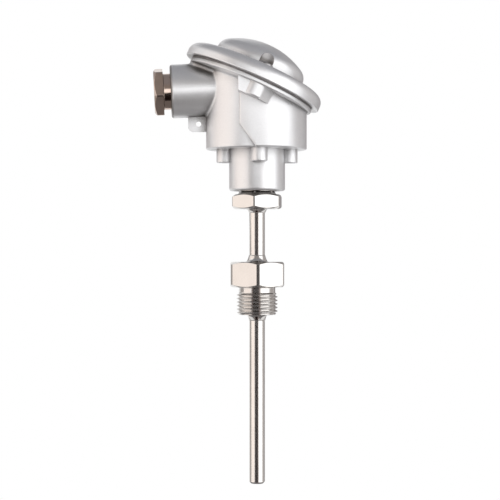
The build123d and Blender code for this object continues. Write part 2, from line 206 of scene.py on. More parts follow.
def hex_angles(count, across_flats, corner_cut, turn):
    """Column angles round a hexagon, with extra columns over its turned-off corners."""
    flat, edge_width = across_flats / 2, 0.06 * MM
    half_cut = HALF_HEX - math.acos(flat / (flat / math.cos(HALF_HEX) - corner_cut))
    edge = edge_width / flat
    between = count // 6
    angles = []
    for corner in range(6):
        start = turn + corner * 2 * HALF_HEX
        inside = half_cut - edge
        angles += [start + off for off in (-half_cut, -inside, 0, inside, half_cut)]
        low, high = start + half_cut + edge, start + 2 * HALF_HEX - half_cut - edge
        angles += [low + (high - low) * step / (between - 1) for step in range(between)]
    return np.array(sorted(angle % (2 * math.pi) for angle in angles))


def rounded(points, steps=3):
    """Points of an open profile, given as radius, height and round, with arcs in its corners."""
    line = []
    for index, (radius, height, corner) in enumerate(points):
        here = np.array((radius, height))
        if corner == 0 or index in (0, len(points) - 1):
            line.append(here)
            continue
        before = np.array(points[index - 1][:2]) - here
        after = np.array(points[index + 1][:2]) - here
        room = CORNER_ROOM * min(np.linalg.norm(before), np.linalg.norm(after))
        before, after = before / np.linalg.norm(before), after / np.linalg.norm(after)
        half_turn = math.acos(np.clip(before @ after, -1, 1)) / 2
        cut = min(corner / math.tan(half_turn), room)
        arc = cut * math.tan(half_turn)
        center = here + (before + after) / np.linalg.norm(before + after) * (
            arc / math.sin(half_turn)
        )
        start, end = here + before * cut - center, here + after * cut - center
        sweep = math.acos(np.clip(start @ end / arc**2, -1, 1))
        for step in range(steps + 1):
            share = step / steps
            mix = (
                math.sin((1 - share) * sweep) * start + math.sin(share * sweep) * end
            ) / math.sin(sweep)
            line.append(center + mix)
    return np.array(line)


def flare(wide, foot, narrow, tip, steps=7):
    """Profile points of a hollow flare, from its wide foot to its narrow tip."""
    points = []
    for step in range(steps + 1):
        share = step / steps
        hollow = 1 - math.sqrt(1 - (1 - share) ** 2)
        across = HOLLOW_SHARE * hollow + (1 - HOLLOW_SHARE) * (1 - share)
        points.append((narrow + (wide - narrow) * across, foot + (tip - foot) * share, 0))
    return points


def strip_faces(columns, rows):
    """Quads that join each column of points to the next, all the way round."""
    faces = []
    for column in range(columns):
        after = (column + 1) % columns
        for row in range(rows - 1):
            low, high = column * rows + row, after * rows + row
            faces.append((low, high, high + 1, low + 1))
    return faces


def column_points(angles, profiles):
    """Points in space of one profile at each angle."""
    points = []
    for angle, profile in zip(angles, profiles):
        for radius, height in profile:
            points.append((radius * math.cos(angle), radius * math.sin(angle), height))
    return points


def thread_rows(pitch, half_angle, depth):
    """Offsets along one pitch and the drop under the crest at each of them."""
    rise = pitch / math.tan(half_angle)
    corner = (rise / 4 - depth / 2) / (
        math.cos(half_angle) / math.tan(half_angle) - 1 + math.sin(half_angle)
    )
    reach = corner * math.cos(half_angle)
    arc = [share * reach for share in (-1, -0.5, 0, 0.5, 1)]
    rows = [(off, corner - math.sqrt(corner**2 - off**2)) for off in arc]
    rows.append((pitch / 4, depth / 2))
    rows += [(pitch / 2 + off, depth - corner + math.sqrt(corner**2 - off**2)) for off in arc]
    rows.append((pitch * 3 / 4, depth / 2))
    return rows


def thread_strip(angles, low, high, radius, pitch, half_angle, depth, first):
    """Points and quads of a right-handed thread that runs out at both of its ends."""
    rows = thread_rows(pitch, half_angle, depth)
    turns = int((high - low) / pitch) + 3
    base = low - 2 * pitch
    starts = [base + turn * pitch for turn in range(turns + 1)]
    stack = [(start + along, drop) for start in starts for along, drop in rows]
    root = radius - depth
    points = []
    for angle in angles:
        lift = pitch * angle / (2 * math.pi)
        for along, drop in stack:
            height = min(max(along + lift, low), high)
            ends = min(height - low, high - height)
            reach = min(radius - drop, root + ends)
            points.append((reach * math.cos(angle), reach * math.sin(angle), height))
    faces = []
    count, step = len(stack), len(rows)
    for column in range(len(angles)):
        last = column == len(angles) - 1
        after = 0 if last else column + 1
        shift = step if last else 0
        for row in range(count - 1 - shift):
            a = first + column * count + row
            b = first + after * count + row + shift
            faces.append((a, b, b + 1, a + 1))
    return points, faces


def make_piece(name, points, faces, matrix=None):
    """An object from points and faces, its doubles merged and its faces turned outwards."""
    mesh = bpy.data.meshes.new(name)
    mesh.from_pydata(points, [], faces)
    work = bmesh.new()
    work.from_mesh(mesh)
    bmesh.ops.remove_doubles(work, verts=work.verts, dist=MERGE_DISTANCE)
    bmesh.ops.dissolve_degenerate(work, edges=work.edges, dist=TINY_EDGE)
    bmesh.ops.recalc_face_normals(work, faces=work.faces)
    if matrix is not None:
        bmesh.ops.transform(work, matrix=matrix, verts=work.verts)
    work.to_mesh(mesh)
    work.free()
    mesh.shade_smooth()
    piece = bpy.data.objects.new(name, mesh)
    bpy.context.scene.collection.objects.link(piece)
    shading = piece.modifiers.new("Face weighted shading", "WEIGHTED_NORMAL")
    shading.mode = "FACE_AREA"
    shading.weight = 80
    return piece


def seat_piece(piece, body, slot, material, *nodes):
    """The piece rides on its body, takes its finish and stands for its CAD nodes."""
    piece.data.materials.append(material)
    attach(piece, body)
    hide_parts(*nodes)


def finish_node(name, material):
    """A CAD node that is shown as it is gets its material."""
    for slot in frame["nodes"][name].material_slots:
        slot.link = "OBJECT"
        slot.material = material


def node_group(name, inputs, outputs):
    """An empty shader group, its given sockets and its results. An input of None is a vector."""
    group = bpy.data.node_groups.new(name, "ShaderNodeTree")
    for label, value in inputs.items():
        kind = "NodeSocketVector" if value is None else "NodeSocketFloat"
        socket = group.interface.new_socket(name=label, in_out="INPUT", socket_type=kind)
        if value is not None:
            socket.default_value = value
    for label in outputs:
        group.interface.new_socket(name=label, in_out="OUTPUT", socket_type="NodeSocketFloat")
    given, results = group.nodes.new("NodeGroupInput"), group.nodes.new("NodeGroupOutput")
    return group, given.outputs, results.inputs


def connect(tree, source, target):
    """Link a socket to a target, or write a plain value on it."""
    if isinstance(source, bpy.types.NodeSocket):
        tree.links.new(source, target)
    else:
        target.default_value = source


def put(tree, kind, *operands, **values):
    """A node of a kind, with its settings, its named inputs and its first inputs in order."""
    node = tree.nodes.new(kind)
    for key, value in values.items():
        if hasattr(node, key):
            setattr(node, key, value)
        else:
            connect(tree, value, node.inputs[key.replace("_", " ")])
    for index, value in enumerate(operands):
        connect(tree, value, node.inputs[index])
    return node


def object_place(tree):
    """Place of a point in the object's own frame."""
    return put(tree, "ShaderNodeTexCoord").outputs["Object"]


def math_node(tree, operation, *operands, clamp=False):
    """Value of a Math node whose operands are sockets or numbers."""
    return put(tree, "ShaderNodeMath", *operands, operation=operation, use_clamp=clamp).outputs[0]


def vector_node(tree, operation, *operands, output="Value"):
    """Value or vector of a Vector Math node."""
    return put(tree, "ShaderNodeVectorMath", *operands, operation=operation).outputs[output]


def map_range(tree, value, low, high, to_low, to_high):
    """A value mapped from one range to another."""
    ends = {"From_Min": low, "From_Max": high, "To_Min": to_low, "To_Max": to_high}
    return put(tree, "ShaderNodeMapRange", Value=value, **ends).outputs[0]


def noise(tree, place, scale, detail, roughness=0.5, distortion=0.0):
    """Value of a noise texture at a place."""
    return put(
        tree,
        "ShaderNodeTexNoise",
        Vector=place,
        Scale=scale,
        Detail=detail,
        Roughness=roughness,
        Distortion=distortion,
    ).outputs[0]


def build_edge_rub():
    """Mask of the edges where a finish is rubbed, broken up by noise."""
    group, given, results = node_group(
        "Edge rub", {"Radius": 0.4 * MM, "Breakup scale": 900.0, "Reach": 0.2}, ("Mask",)
    )
    smooth = put(group, "ShaderNodeBevel", samples=4, Radius=given["Radius"]).outputs[0]
    sharp = put(group, "ShaderNodeNewGeometry").outputs["Normal"]
    turned = math_node(group, "SUBTRACT", 1.0, vector_node(group, "DOT_PRODUCT", smooth, sharp))
    breakup = noise(group, object_place(group), given["Breakup scale"], 4.0, 0.6)
    broken = map_range(group, breakup, 0.35, 0.65, 0.35, 1.0)
    share = math_node(group, "DIVIDE", turned, given["Reach"], clamp=True)
    connect(group, math_node(group, "MULTIPLY", share, broken, clamp=True), results["Mask"])
    return group


def build_handling_marks():
    """Soft smudges and fine scratches that vary gloss, from handling."""
    group, given, results = node_group(
        "Handling marks",
        {"Smudge scale": 60.0, "Scratch scale": 400.0},
        ("Smudges", "Scratches"),
    )
    place = object_place(group)
    smudge = noise(group, place, given["Smudge scale"], 3.0, 0.55, distortion=0.4)
    connect(group, map_range(group, smudge, 0.35, 0.7, 0.0, 1.0), results["Smudges"])
    stretch, turn = (1.0, 6.0, 0.6), (0.5, 0.3, 0.9)
    slanted = put(group, "ShaderNodeMapping", Vector=place, Scale=stretch, Rotation=turn)
    lines = noise(group, slanted.outputs[0], given["Scratch scale"], 5.0, 0.7)
    connect(group, map_range(group, lines, 0.58, 0.7, 0.0, 1.0), results["Scratches"])
    return group


def build_lathe_lines():
    """Fine rings that a lathe leaves round an axis, on the sides and on the faces."""
    group, given, results = node_group(
        "Lathe lines", {"Vector": None, "Lines per metre": 9000.0}, ("Height",)
    )
    x, y, z = put(group, "ShaderNodeSeparateXYZ", given["Vector"]).outputs
    flat = put(group, "ShaderNodeCombineXYZ", x, y).outputs[0]
    ring = put(group, "ShaderNodeCombineXYZ", vector_node(group, "LENGTH", flat), z).outputs[0]
    connect(group, noise(group, ring, given["Lines per metre"], 2.0, 0.6), results["Height"])
    return group


def build_pebble():
    """Orange peel and fine flakes of a sprayed metallic paint."""
    group, given, results = node_group(
        "Sprayed pebble", {"Peel scale": 700.0, "Flake scale": 6000.0}, ("Height", "Flakes")
    )
    place = object_place(group)
    connect(group, noise(group, place, given["Peel scale"], 2.0), results["Height"])
    flakes = put(group, "ShaderNodeTexVoronoi", Vector=place, Scale=given["Flake scale"])
    tones = put(group, "ShaderNodeSeparateColor", flakes.outputs["Color"])
    connect(group, tones.outputs[0], results["Flakes"])
    return group


def build_pocket_shade():
    """Mask of painted shade on the walls of the two screw pockets in the cover, and its depth down them, in the
    cover's own slanted frame.
    """
    group, given, results = node_group(
        "Screw pocket", {"Radius": 5 * MM, "Softness": 0.1 * MM}, ("Mask", "Depth")
    )
    pocket_floor, wall_low, wall_high = -0.9 * MM, 3.2 * MM, 4.6 * MM
    overlap = 1.5
    screw = joints["rear_screw_turn"]
    x, y, z = put(group, "ShaderNodeSeparateXYZ", object_place(group)).outputs
    folded = put(group, "ShaderNodeCombineXYZ", x, math_node(group, "ABSOLUTE", y), z)
    local = put(
        group,
        "ShaderNodeMapping",
        vector_type="TEXTURE",
        Vector=folded.outputs[0],
        Location=screw["pos_m"],
        Rotation=Vector(screw["axis"]).to_track_quat("Z", "Y").to_euler(),
    ).outputs[0]
    flat = vector_node(group, "MULTIPLY", local, (1, 1, 0), output="Vector")
    inner = math_node(group, "SUBTRACT", given["Radius"], vector_node(group, "LENGTH", flat))
    near = math_node(group, "DIVIDE", inner, given["Softness"])
    near = math_node(group, "ADD", near, overlap, clamp=True)
    height = put(group, "ShaderNodeSeparateXYZ", local).outputs["Z"]
    above = math_node(group, "GREATER_THAN", height, pocket_floor)
    connect(group, math_node(group, "MULTIPLY", near, above), results["Mask"])
    connect(group, map_range(group, height, wall_high, wall_low, 0.0, 1.0), results["Depth"])
    return group


def build_painted_crease_shade():
    """Mask of painted shade in the narrow roots and gaps, stronger where less of the space round a point is open.
    """
    group, given, results = node_group(
        "Settled dust", {"Distance": 4 * MM, "Openness": 0.9}, ("Mask",)
    )
    shelter = put(group, "ShaderNodeAmbientOcclusion", samples=6, Distance=given["Distance"])
    hidden = math_node(group, "SUBTRACT", given["Openness"], shelter.outputs["AO"])
    share = math_node(group, "DIVIDE", hidden, given["Openness"], clamp=True)
    connect(group, share, results["Mask"])
    return group


def shared_group(name):
    """The shared effect of that name, built at its first use."""
    builders = {
        "Settled dust": build_painted_crease_shade,
        "Screw pocket": build_pocket_shade,
        "Edge rub": build_edge_rub,
        "Handling marks": build_handling_marks,
        "Lathe lines": build_lathe_lines,
        "Sprayed pebble": build_pebble,
    }
    return bpy.data.node_groups.get(name) or builders[name]()


def use_group(tree, name, **values):
    """Results of a shared effect placed in a material, with its own values."""
    return put(tree, "ShaderNodeGroup", node_tree=shared_group(name), **values).outputs


def new_finish(name, metallic, roughness):
    """A material with its Principled shader."""
    material = bpy.data.materials.new(name)
    material.use_nodes = True
    tree = material.node_tree
    shader = tree.nodes["Principled BSDF"]
    shader.inputs["Metallic"].default_value = metallic
    shader.inputs["Roughness"].default_value = roughness
    return material, tree, shader


def blend_colours(tree, mask, first, second):
    """The first colour where the mask is 0 and the second where it is 1, plain or sockets."""
    ends = [end if isinstance(end, bpy.types.NodeSocket) else (*end, 1) for end in (first, second)]
    mix = put(tree, "ShaderNodeMix", data_type="RGBA", Factor=mask, A=ends[0], B=ends[1])
    return mix.outputs["Result"]


def rub_edges(tree, colour, bare, most, **values):
    """The colour with its edges rubbed towards a bare one, by a share at most."""
    rub = use_group(tree, "Edge rub", **values)
    return blend_colours(tree, math_node(tree, "MULTIPLY", rub["Mask"], most), colour, bare)


def shade(colour, factor):
    return tuple(min(1.0, channel * factor) for channel in colour)


def vary_roughness(tree, shader, mask, low, high):
    """Roughness that follows a mask from low to high."""
    connect(tree, map_range(tree, mask, 0.0, 1.0, low, high), shader.inputs["Roughness"])


def bump(tree, shader, height, distance, strength):
    """A Bump node that feeds the shader."""
    node = put(tree, "ShaderNodeBump", Strength=strength, Distance=distance, Height=height)
    connect(tree, node.outputs[0], shader.inputs["Normal"])


def casting_painted_shade(tree):
    """Mask and colour of painted shade in the casting's roots, under the flange by its entry, round its entry's
    rim and in its pockets.
    """
    # painted shade: the mask on the next line darkens the narrow roots and gaps where shade falls
    dust = use_group(tree, "Settled dust", Distance=6 * MM, Openness=0.92)
    pocket = use_group(tree, "Screw pocket", Radius=5 * MM)
    place = object_place(tree)

    # painted shadow: the crease shade grows much heavier towards the cable entry, under the flange
    entry_root, entry_middle, light_shade, heavy_shade = -18 * MM, -25 * MM, 0.7, 3.0
    across = put(tree, "ShaderNodeSeparateXYZ", place).outputs["X"]
    entry_shade = map_range(tree, across, entry_root, entry_middle, light_shade, heavy_shade)
    shade_mask = math_node(tree, "MULTIPLY", dust["Mask"], entry_shade, clamp=True)
    shade_mask = math_node(tree, "MAXIMUM", shade_mask, pocket["Mask"])

    # painted shade: a dark band round the rim of the cable entry's end face
    rim_start, rim_full, rim_shade = 1.2 * MM, 0.5 * MM, 0.9
    outward = Vector(joints["gland_turn"]["axis"])
    end = Vector(joints["gland_turn"]["pos_m"]).dot(outward)
    along = vector_node(tree, "DOT_PRODUCT", place, outward)
    rim = map_range(tree, along, end - rim_start, end - rim_full, 0.0, rim_shade)
    shade_mask = math_node(tree, "MAXIMUM", shade_mask, rim)
    # colour of the painted shade, darker deeper down the screw pockets
    shade_colour = blend_colours(tree, pocket["Depth"], (0.32, 0.31, 0.31), (0.15, 0.14, 0.135))
    return shade_mask, shade_colour


def painted_casting(colour):
    """Die-cast aluminium under a satin silver paint."""
    material, tree, shader = new_finish("Silver painted casting", 0.84, 0.4)
    pebble = use_group(tree, "Sprayed pebble", Peel_scale=520.0, Flake_scale=5200.0)
    marks = use_group(tree, "Handling marks", Smudge_scale=45.0, Scratch_scale=300.0)
    flakes = blend_colours(tree, pebble["Flakes"], shade(colour, 0.95), shade(colour, 1.05))
    worn = rub_edges(
        tree, flakes, shade(colour, 1.3), 0.35, Radius=0.5 * MM, Breakup_scale=700.0, Reach=0.25
    )
    # painted shade: the roots, the entry and the screw pockets are darkened in the base colour
    shade_mask, shade_colour = casting_painted_shade(tree)
    connect(tree, blend_colours(tree, shade_mask, worn, shade_colour), shader.inputs["Base Color"])
    vary_roughness(tree, shader, marks["Smudges"], 0.36, 0.43)
    shader.inputs["Coat Weight"].default_value = 0.25
    shader.inputs["Coat Roughness"].default_value = 0.22
    bump(tree, shader, pebble["Height"], 0.03 * MM, 0.6)
    return material


def turned_steel(name, colour, roughness=0.13):
    """Bright turned bar with fine rings round its axis."""
    material, tree, shader = new_finish(name, 1.0, roughness)
    lines = use_group(tree, "Lathe lines", Vector=object_place(tree), Lines_per_metre=7000.0)
    marks = use_group(tree, "Handling marks", Smudge_scale=80.0, Scratch_scale=700.0)
    tint = blend_colours(tree, marks["Smudges"], shade(colour, 0.97), shade(colour, 1.04))
    worn = rub_edges(
        tree, tint, shade(colour, 1.25), 0.3, Radius=0.2 * MM, Breakup_scale=1200.0, Reach=0.3
    )
    connect(tree, worn, shader.inputs["Base Color"])
    smudged = map_range(tree, marks["Smudges"], 0.0, 1.0, 0.0, 0.05)
    scratched = map_range(tree, marks["Scratches"], 0.0, 1.0, roughness, roughness + 0.08)
    connect(tree, math_node(tree, "ADD", smudged, scratched), shader.inputs["Roughness"])
    bump(tree, shader, lines["Height"], 0.004 * MM, 0.7)
    return material


def drawn_tube(colour):
    """Drawn and polished tube, with faint lines along it."""
    material, tree, shader = new_finish("Polished stainless tube", 1.0, 0.12)
    marks = use_group(tree, "Handling marks", Smudge_scale=70.0, Scratch_scale=500.0)
    along = put(tree, "ShaderNodeMapping", Vector=object_place(tree), Scale=(1.0, 1.0, 0.02))
    tint = blend_colours(tree, marks["Smudges"], shade(colour, 0.97), shade(colour, 1.04))
    connect(tree, tint, shader.inputs["Base Color"])
    vary_roughness(tree, shader, marks["Scratches"], 0.15, 0.24)
    bump(tree, shader, noise(tree, along.outputs[0], 4000.0, 2.0), 0.003 * MM, 0.5)
    return material


def plated(name, colour, roughness, wear_colour):
    """Bright plating that thins to a warmer tone on its edges."""
    material, tree, shader = new_finish(name, 1.0, roughness)
    marks = use_group(tree, "Handling marks", Smudge_scale=120.0, Scratch_scale=900.0)
    tint = blend_colours(tree, marks["Smudges"], shade(colour, 0.9), shade(colour, 1.06))
    worn = rub_edges(
        tree, tint, wear_colour, 0.4, Radius=0.25 * MM, Breakup_scale=1500.0, Reach=0.3
    )
    connect(tree, worn, shader.inputs["Base Color"])
    vary_roughness(tree, shader, marks["Scratches"], roughness, roughness + 0.12)
    bump(tree, shader, marks["Smudges"], 0.01 * MM, 0.3)
    return material


def moulded_rubber(name, colour):
    """Matt moulded rubber with a dusty bloom."""
    material, tree, shader = new_finish(name, 0.0, 0.6)
    marks = use_group(tree, "Handling marks", Smudge_scale=150.0, Scratch_scale=1500.0)
    tint = blend_colours(tree, marks["Smudges"], colour, shade(colour, 2.2))
    connect(tree, tint, shader.inputs["Base Color"])
    vary_roughness(tree, shader, marks["Smudges"], 0.5, 0.7)
    bump(tree, shader, marks["Scratches"], 0.02 * MM, 0.4)
    return material


def fired_ceramic(name, colour, roughness, coat):
    """White ceramic with faint specks, glazed where it has a coat."""
    material, tree, shader = new_finish(name, 0.0, roughness)
    specks = put(tree, "ShaderNodeTexVoronoi", Vector=object_place(tree), Scale=900.0)
    spots = map_range(tree, specks.outputs["Distance"], 0.0, 0.12, 1.0, 0.0)
    marks = use_group(tree, "Handling marks", Smudge_scale=90.0, Scratch_scale=600.0)
    faint = math_node(tree, "MULTIPLY", spots, 0.5)
    mask = math_node(tree, "MAXIMUM", faint, marks["Smudges"])
    tint = blend_colours(tree, mask, colour, shade(colour, 0.9))
    connect(tree, tint, shader.inputs["Base Color"])
    vary_roughness(tree, shader, marks["Smudges"], roughness, roughness + 0.08)
    shader.inputs["Coat Weight"].default_value = coat
    shader.inputs["Coat Roughness"].default_value = 0.08
    bump(tree, shader, marks["Smudges"], 0.05 * MM, 0.3)
    return material


def axis_matrix(origin, axis, side):
    """Matrix of a local frame at a point, with its Z along an axis and its X along a side."""
    along = Vector(axis).normalized()
    across = Vector(side).normalized()
    up = along.cross(across)
    turn = Matrix((across, up, along)).transposed().to_4x4()
    return Matrix.Translation(Vector(origin)) @ turn


def metric_thread(sizes, low, high):
    """Ends, radius, pitch, half angle and depth of a metric thread."""
    pitch = sizes.metric_pitch
    depth = METRIC_THREAD_DEPTH * pitch
    return low, high, METRIC_THREAD_RADIUS, pitch, sizes.metric_half_angle, depth


def turned_hexagon(name, sizes, outline, hexagon, thread, matrix=None):
    """A turned piece with a hexagon and a thread.

    The outline gives its profile for the thread's root, the radius of the hexagon's end
    faces, the hexagon's reach at an angle and the height of its chamfer there.
    """
    face = hexagon[0] / 2 - sizes.chamfer_reach
    root = thread[2] - thread[-1]
    angles = hex_angles(sizes.columns, *hexagon)
    profiles = []
    for angle in angles:
        reach = hex_reach(angle, *hexagon)
        drop = (reach - face) * math.tan(HALF_HEX)
        profiles.append(rounded(outline(root, face, reach, drop)))
    points = column_points(angles, profiles)
    faces = strip_faces(len(angles), len(profiles[0]))
    more, strip = thread_strip(angles, *thread, len(points))
    return make_piece(name, points + more, faces + strip, matrix)


class SENSOR_OT_process_fitting(Operator):
    """Build the lower hexagon with its pipe thread, relief groove and cones"""

    bl_idname = "sensor.process_fitting"
    bl_label = "Process fitting"

    def execute(self, context):
        sizes, finishes = context.scene.sensor_sizes, context.scene.sensor_finishes
        low, high = (corner.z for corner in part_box("process_fitting"))
        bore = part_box("protection_tube")[1].x + TUBE_GAP
        thread_low, seat = -11.2 * MM, mounts["process_seat"]["pos_m"][2]
        relief, relief_low, relief_round = 9.3 * MM, 0.25 * MM, 0.5 * MM
        hex_high = seat + 12.9 * MM
        upper_foot, lower_foot = 5.8 * MM, 5.4 * MM
        edge, pitch = sizes.edge_round, sizes.thread_pitch
        depth = PIPE_THREAD_DEPTH * pitch

        def outline(root, face, reach, drop):
            return [
                (root, 0, 0),
                (relief, relief_low, 0),
                (relief, seat, relief_round),
                (face, seat, edge),
                (reach, seat + drop, edge),
                (reach, hex_high - drop, edge),
                (face, hex_high, edge),
                *flare(upper_foot, hex_high, bore + CONE_WALL, high),
                (bore, high, 0),
                (bore, low, 0),
                *reversed(flare(lower_foot, thread_low, bore + CONE_WALL, low)),
                (root, thread_low, 0),
            ]

        piece = turned_hexagon(
            "process_fitting_turned",
            sizes,
            outline,
            (sizes.process_hex, sizes.process_corner_cut, math.radians(-91.7)),
            (thread_low, 0, sizes.thread_radius, pitch, sizes.thread_half_angle, depth),
        )
        steel = turned_steel("Turned stainless steel", finishes.steel)
        seat_piece(piece, "housing", "stainless_fitting", steel, "process_fitting")
        return {"FINISHED"}


class SENSOR_OT_head_adapter(Operator):
    """Build the upper hexagon with its cone, relief and metric thread"""

    bl_idname = "sensor.head_adapter"
    bl_label = "Head adapter"

    def execute(self, context):
        sizes, finishes = context.scene.sensor_sizes, context.scene.sensor_finishes
        low, high = (corner.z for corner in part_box("head_adapter"))
        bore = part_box("protection_tube")[1].x + TUBE_GAP
        cone_height, hex_height, relief_height = 2 * MM, 7.4 * MM, 1.8 * MM
        hex_low = low + cone_height
        hex_high = hex_low + hex_height
        thread_low = hex_high + relief_height
        cone_foot, collar, collar_round, relief = 5.6 * MM, 9.9 * MM, 0.2 * MM, 8.8 * MM
        edge = sizes.edge_round

        def outline(root, face, reach, drop):
            return [
                (root, high, 0),
                (bore, high, 0),
                (bore, low, 0),
                *reversed(flare(cone_foot, hex_low, bore + CONE_WALL, low)),
                (face, hex_low, edge),
                (reach, hex_low + drop, edge),
                (reach, hex_high - drop, edge),
                (face, hex_high, edge),
                (collar, hex_high, collar_round),
                (relief, thread_low, 0),
                (root, thread_low, 0),
            ]

        piece = turned_hexagon(
            "head_adapter_turned",
            sizes,
            outline,
            (sizes.adapter_hex, sizes.corner_cut, math.radians(-100)),
            metric_thread(sizes, thread_low, high),
        )
        steel = turned_steel("Turned adapter steel", finishes.steel)
        seat_piece(piece, "housing", "stainless_fitting", steel, "head_adapter")
        return {"FINISHED"}


class SENSOR_OT_protection_tube(Operator):
    """Build the closed tube with its chamfered tip"""

    bl_idname = "sensor.protection_tube"
    bl_label = "Protection tube"

    def execute(self, context):
        sizes, finishes = context.scene.sensor_sizes, context.scene.sensor_finishes
        lowest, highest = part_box("protection_tube")
        radius, edge = highest.x, sizes.edge_round
        wall, chamfer, bottom, soft_round = 1 * MM, 0.8 * MM, 2 * MM, 0.3 * MM
        inside = radius - wall
        profile = rounded(
            [
                (0, lowest.z, 0),
                (radius - chamfer, lowest.z, soft_round),
                (radius, lowest.z + chamfer, 0.4 * MM),
                (radius, highest.z, edge),
                (inside, highest.z, edge),
                (inside, lowest.z + bottom, soft_round),
                (0, lowest.z + bottom, 0),
            ]
        )
        columns = 96
        angles = np.linspace(0, 2 * math.pi, columns, endpoint=False)
        points = column_points(angles, [profile] * columns)
        piece = make_piece("protection_tube_drawn", points, strip_faces(columns, len(profile)))
        tube = drawn_tube(shade(finishes.steel, 1.08))
        seat_piece(piece, "housing", "stainless_tube", tube, "protection_tube")
        return {"FINISHED"}


class SENSOR_OT_gland(Operator):
    """Build the hollow gland screw and finish the washer and the seal behind it"""

    bl_idname = "sensor.gland"
    bl_label = "Cable gland"

    def execute(self, context):
        sizes, finishes = context.scene.sensor_sizes, context.scene.sensor_finishes
        gland = joints["gland_turn"]
        bore = mounts["cable_entry"]["dims"]["r_mm"] * MM
        neck, neck_high, neck_round = 9.15 * MM, 3.7 * MM, 0.5 * MM
        hex_high, thread_low = 8.45 * MM, -8 * MM
        edge = sizes.edge_round

        def outline(root, face, reach, drop):
            return [
                (root, 0, 0),
                (neck, 0, edge),
                (neck, neck_high, neck_round),
                (reach, neck_high, edge),
                (reach, hex_high - drop, edge),
                (face, hex_high, edge),
                (bore, hex_high, 2.5 * edge),
                (bore, thread_low, edge),
                (root, thread_low, 0),
            ]

        piece = turned_hexagon(
            "gland_screw_turned",
            sizes,
            outline,
            (sizes.gland_hex, sizes.corner_cut, math.radians(-14.5)),
            metric_thread(sizes, thread_low, 0),
            axis_matrix(gland["pos_m"], gland["axis"], (0, -1, 0)),
        )
        nickel = plated("Nickel plating", finishes.nickel, 0.14, (0.62, 0.52, 0.38))
        seat_piece(piece, "gland", "nickel_plating", nickel, "gland_screw")
        finish_node("gland_washer", nickel)
        finish_node("gland_seal", moulded_rubber("Moulded rubber", finishes.rubber))
        return {"FINISHED"}


class SENSOR_OT_castings(Operator):
    """Finish the housing, the cover and the gasket between them"""

    bl_idname = "sensor.castings"
    bl_label = "Head castings"

    def execute(self, context):
        finishes = context.scene.sensor_finishes
        paint = painted_casting(finishes.paint)
        finish_node("head_body", paint)
        finish_node("head_cover", paint)
        finish_node("cover_gasket", moulded_rubber("Dusty rubber", finishes.dusty_rubber))
        return {"FINISHED"}


class SENSOR_OT_screws(Operator):
    """Finish the cover screws and the screws on the terminal block"""

    bl_idname = "sensor.screws"
    bl_label = "Screws"

    def execute(self, context):
        finishes = context.scene.sensor_finishes
        zinc = plated("Zinc plating", finishes.zinc, 0.3, (0.44, 0.42, 0.40))
        for name in frame["nodes"]:
            if "_screw_" in name:
                finish_node(name, zinc)
        return {"FINISHED"}


class SENSOR_OT_terminals(Operator):
    """Finish the ceramic block and its brass bars"""

    bl_idname = "sensor.terminals"
    bl_label = "Terminal block"

    def execute(self, context):
        finishes = context.scene.sensor_finishes
        finish_node("terminal_block", fired_ceramic("Glazed steatite", finishes.glaze, 0.3, 0.8))
        brass = plated("Machined brass", finishes.brass, 0.24, shade(finishes.brass, 0.8))
        for name in ("terminal_bar_negative", "terminal_bar_positive"):
            finish_node(name, brass)
        return {"FINISHED"}


class SENSOR_OT_element(Operator):
    """Finish the ceramic beads, the two wires and their junction"""

    bl_idname = "sensor.element"
    bl_label = "Measuring element"

    def execute(self, context):
        finishes = context.scene.sensor_finishes
        bead = fired_ceramic("Bare alumina", finishes.bead, 0.65, 0.0)
        wire = plated("Oxidised wire", finishes.wire, 0.45, shade(finishes.wire, 1.5))
        for name in frame["nodes"]:
            if name.startswith("ceramic_bead"):
                finish_node(name, bead)
            elif name.startswith("wire_") or name == "hot_junction":
                finish_node(name, wire)
        return {"FINISHED"}


def seen_directly(tree):
    """1 for a ray from the camera, off gloss or through glass, and 0 for the rest."""
    path = put(tree, "ShaderNodeLightPath").outputs
    seen = math_node(tree, "MAXIMUM", path["Is Camera Ray"], path["Is Glossy Ray"])
    return math_node(tree, "MAXIMUM", seen, path["Is Transmission Ray"])


def floor_white(tree):
    """Share of plain white on the floor: it grows away from the sensor, where no shadow falls."""
    near, far, near_share = 0.2, 0.42, 0.55
    position = put(tree, "ShaderNodeNewGeometry").outputs["Position"]
    distance = vector_node(tree, "LENGTH", position)
    away = map_range(tree, distance, near, far, near_share, 1.0)
    return math_node(tree, "MULTIPLY", seen_directly(tree), away)


def view_axes(turn):
    """Directions from the stem to the camera and to the camera's right."""
    back = Vector((math.sin(turn), -math.cos(turn), 0))
    right = Vector((math.cos(turn), math.sin(turn), 0))
    return back, right


def studio_place(turn, bearing, height, distance):
    """A place at a bearing to the right of the camera's direction, in degrees."""
    back, right = view_axes(turn)
    angle = math.radians(bearing)
    return (back * math.cos(angle) + right * math.sin(angle)) * distance + Vector((0, 0, height))


def face_target(thing, place, target):
    """Put a lamp or a card at a place, with its back to the outside."""
    thing.location = place
    thing.rotation_euler = (Vector(target) - Vector(place)).to_track_quat("-Z", "Y").to_euler()
    bpy.context.scene.collection.objects.link(thing)


def add_softbox(name, place, target, width, height, radiance, tint):
    """An area lamp of a given brightness, turned to a target."""
    lamp = bpy.data.lights.new(name, "AREA")
    lamp.shape = "RECTANGLE"
    lamp.size, lamp.size_y = width, height
    lamp.energy = radiance * math.pi * width * height
    lamp.color = tint
    face_target(bpy.data.objects.new(name, lamp), place, target)


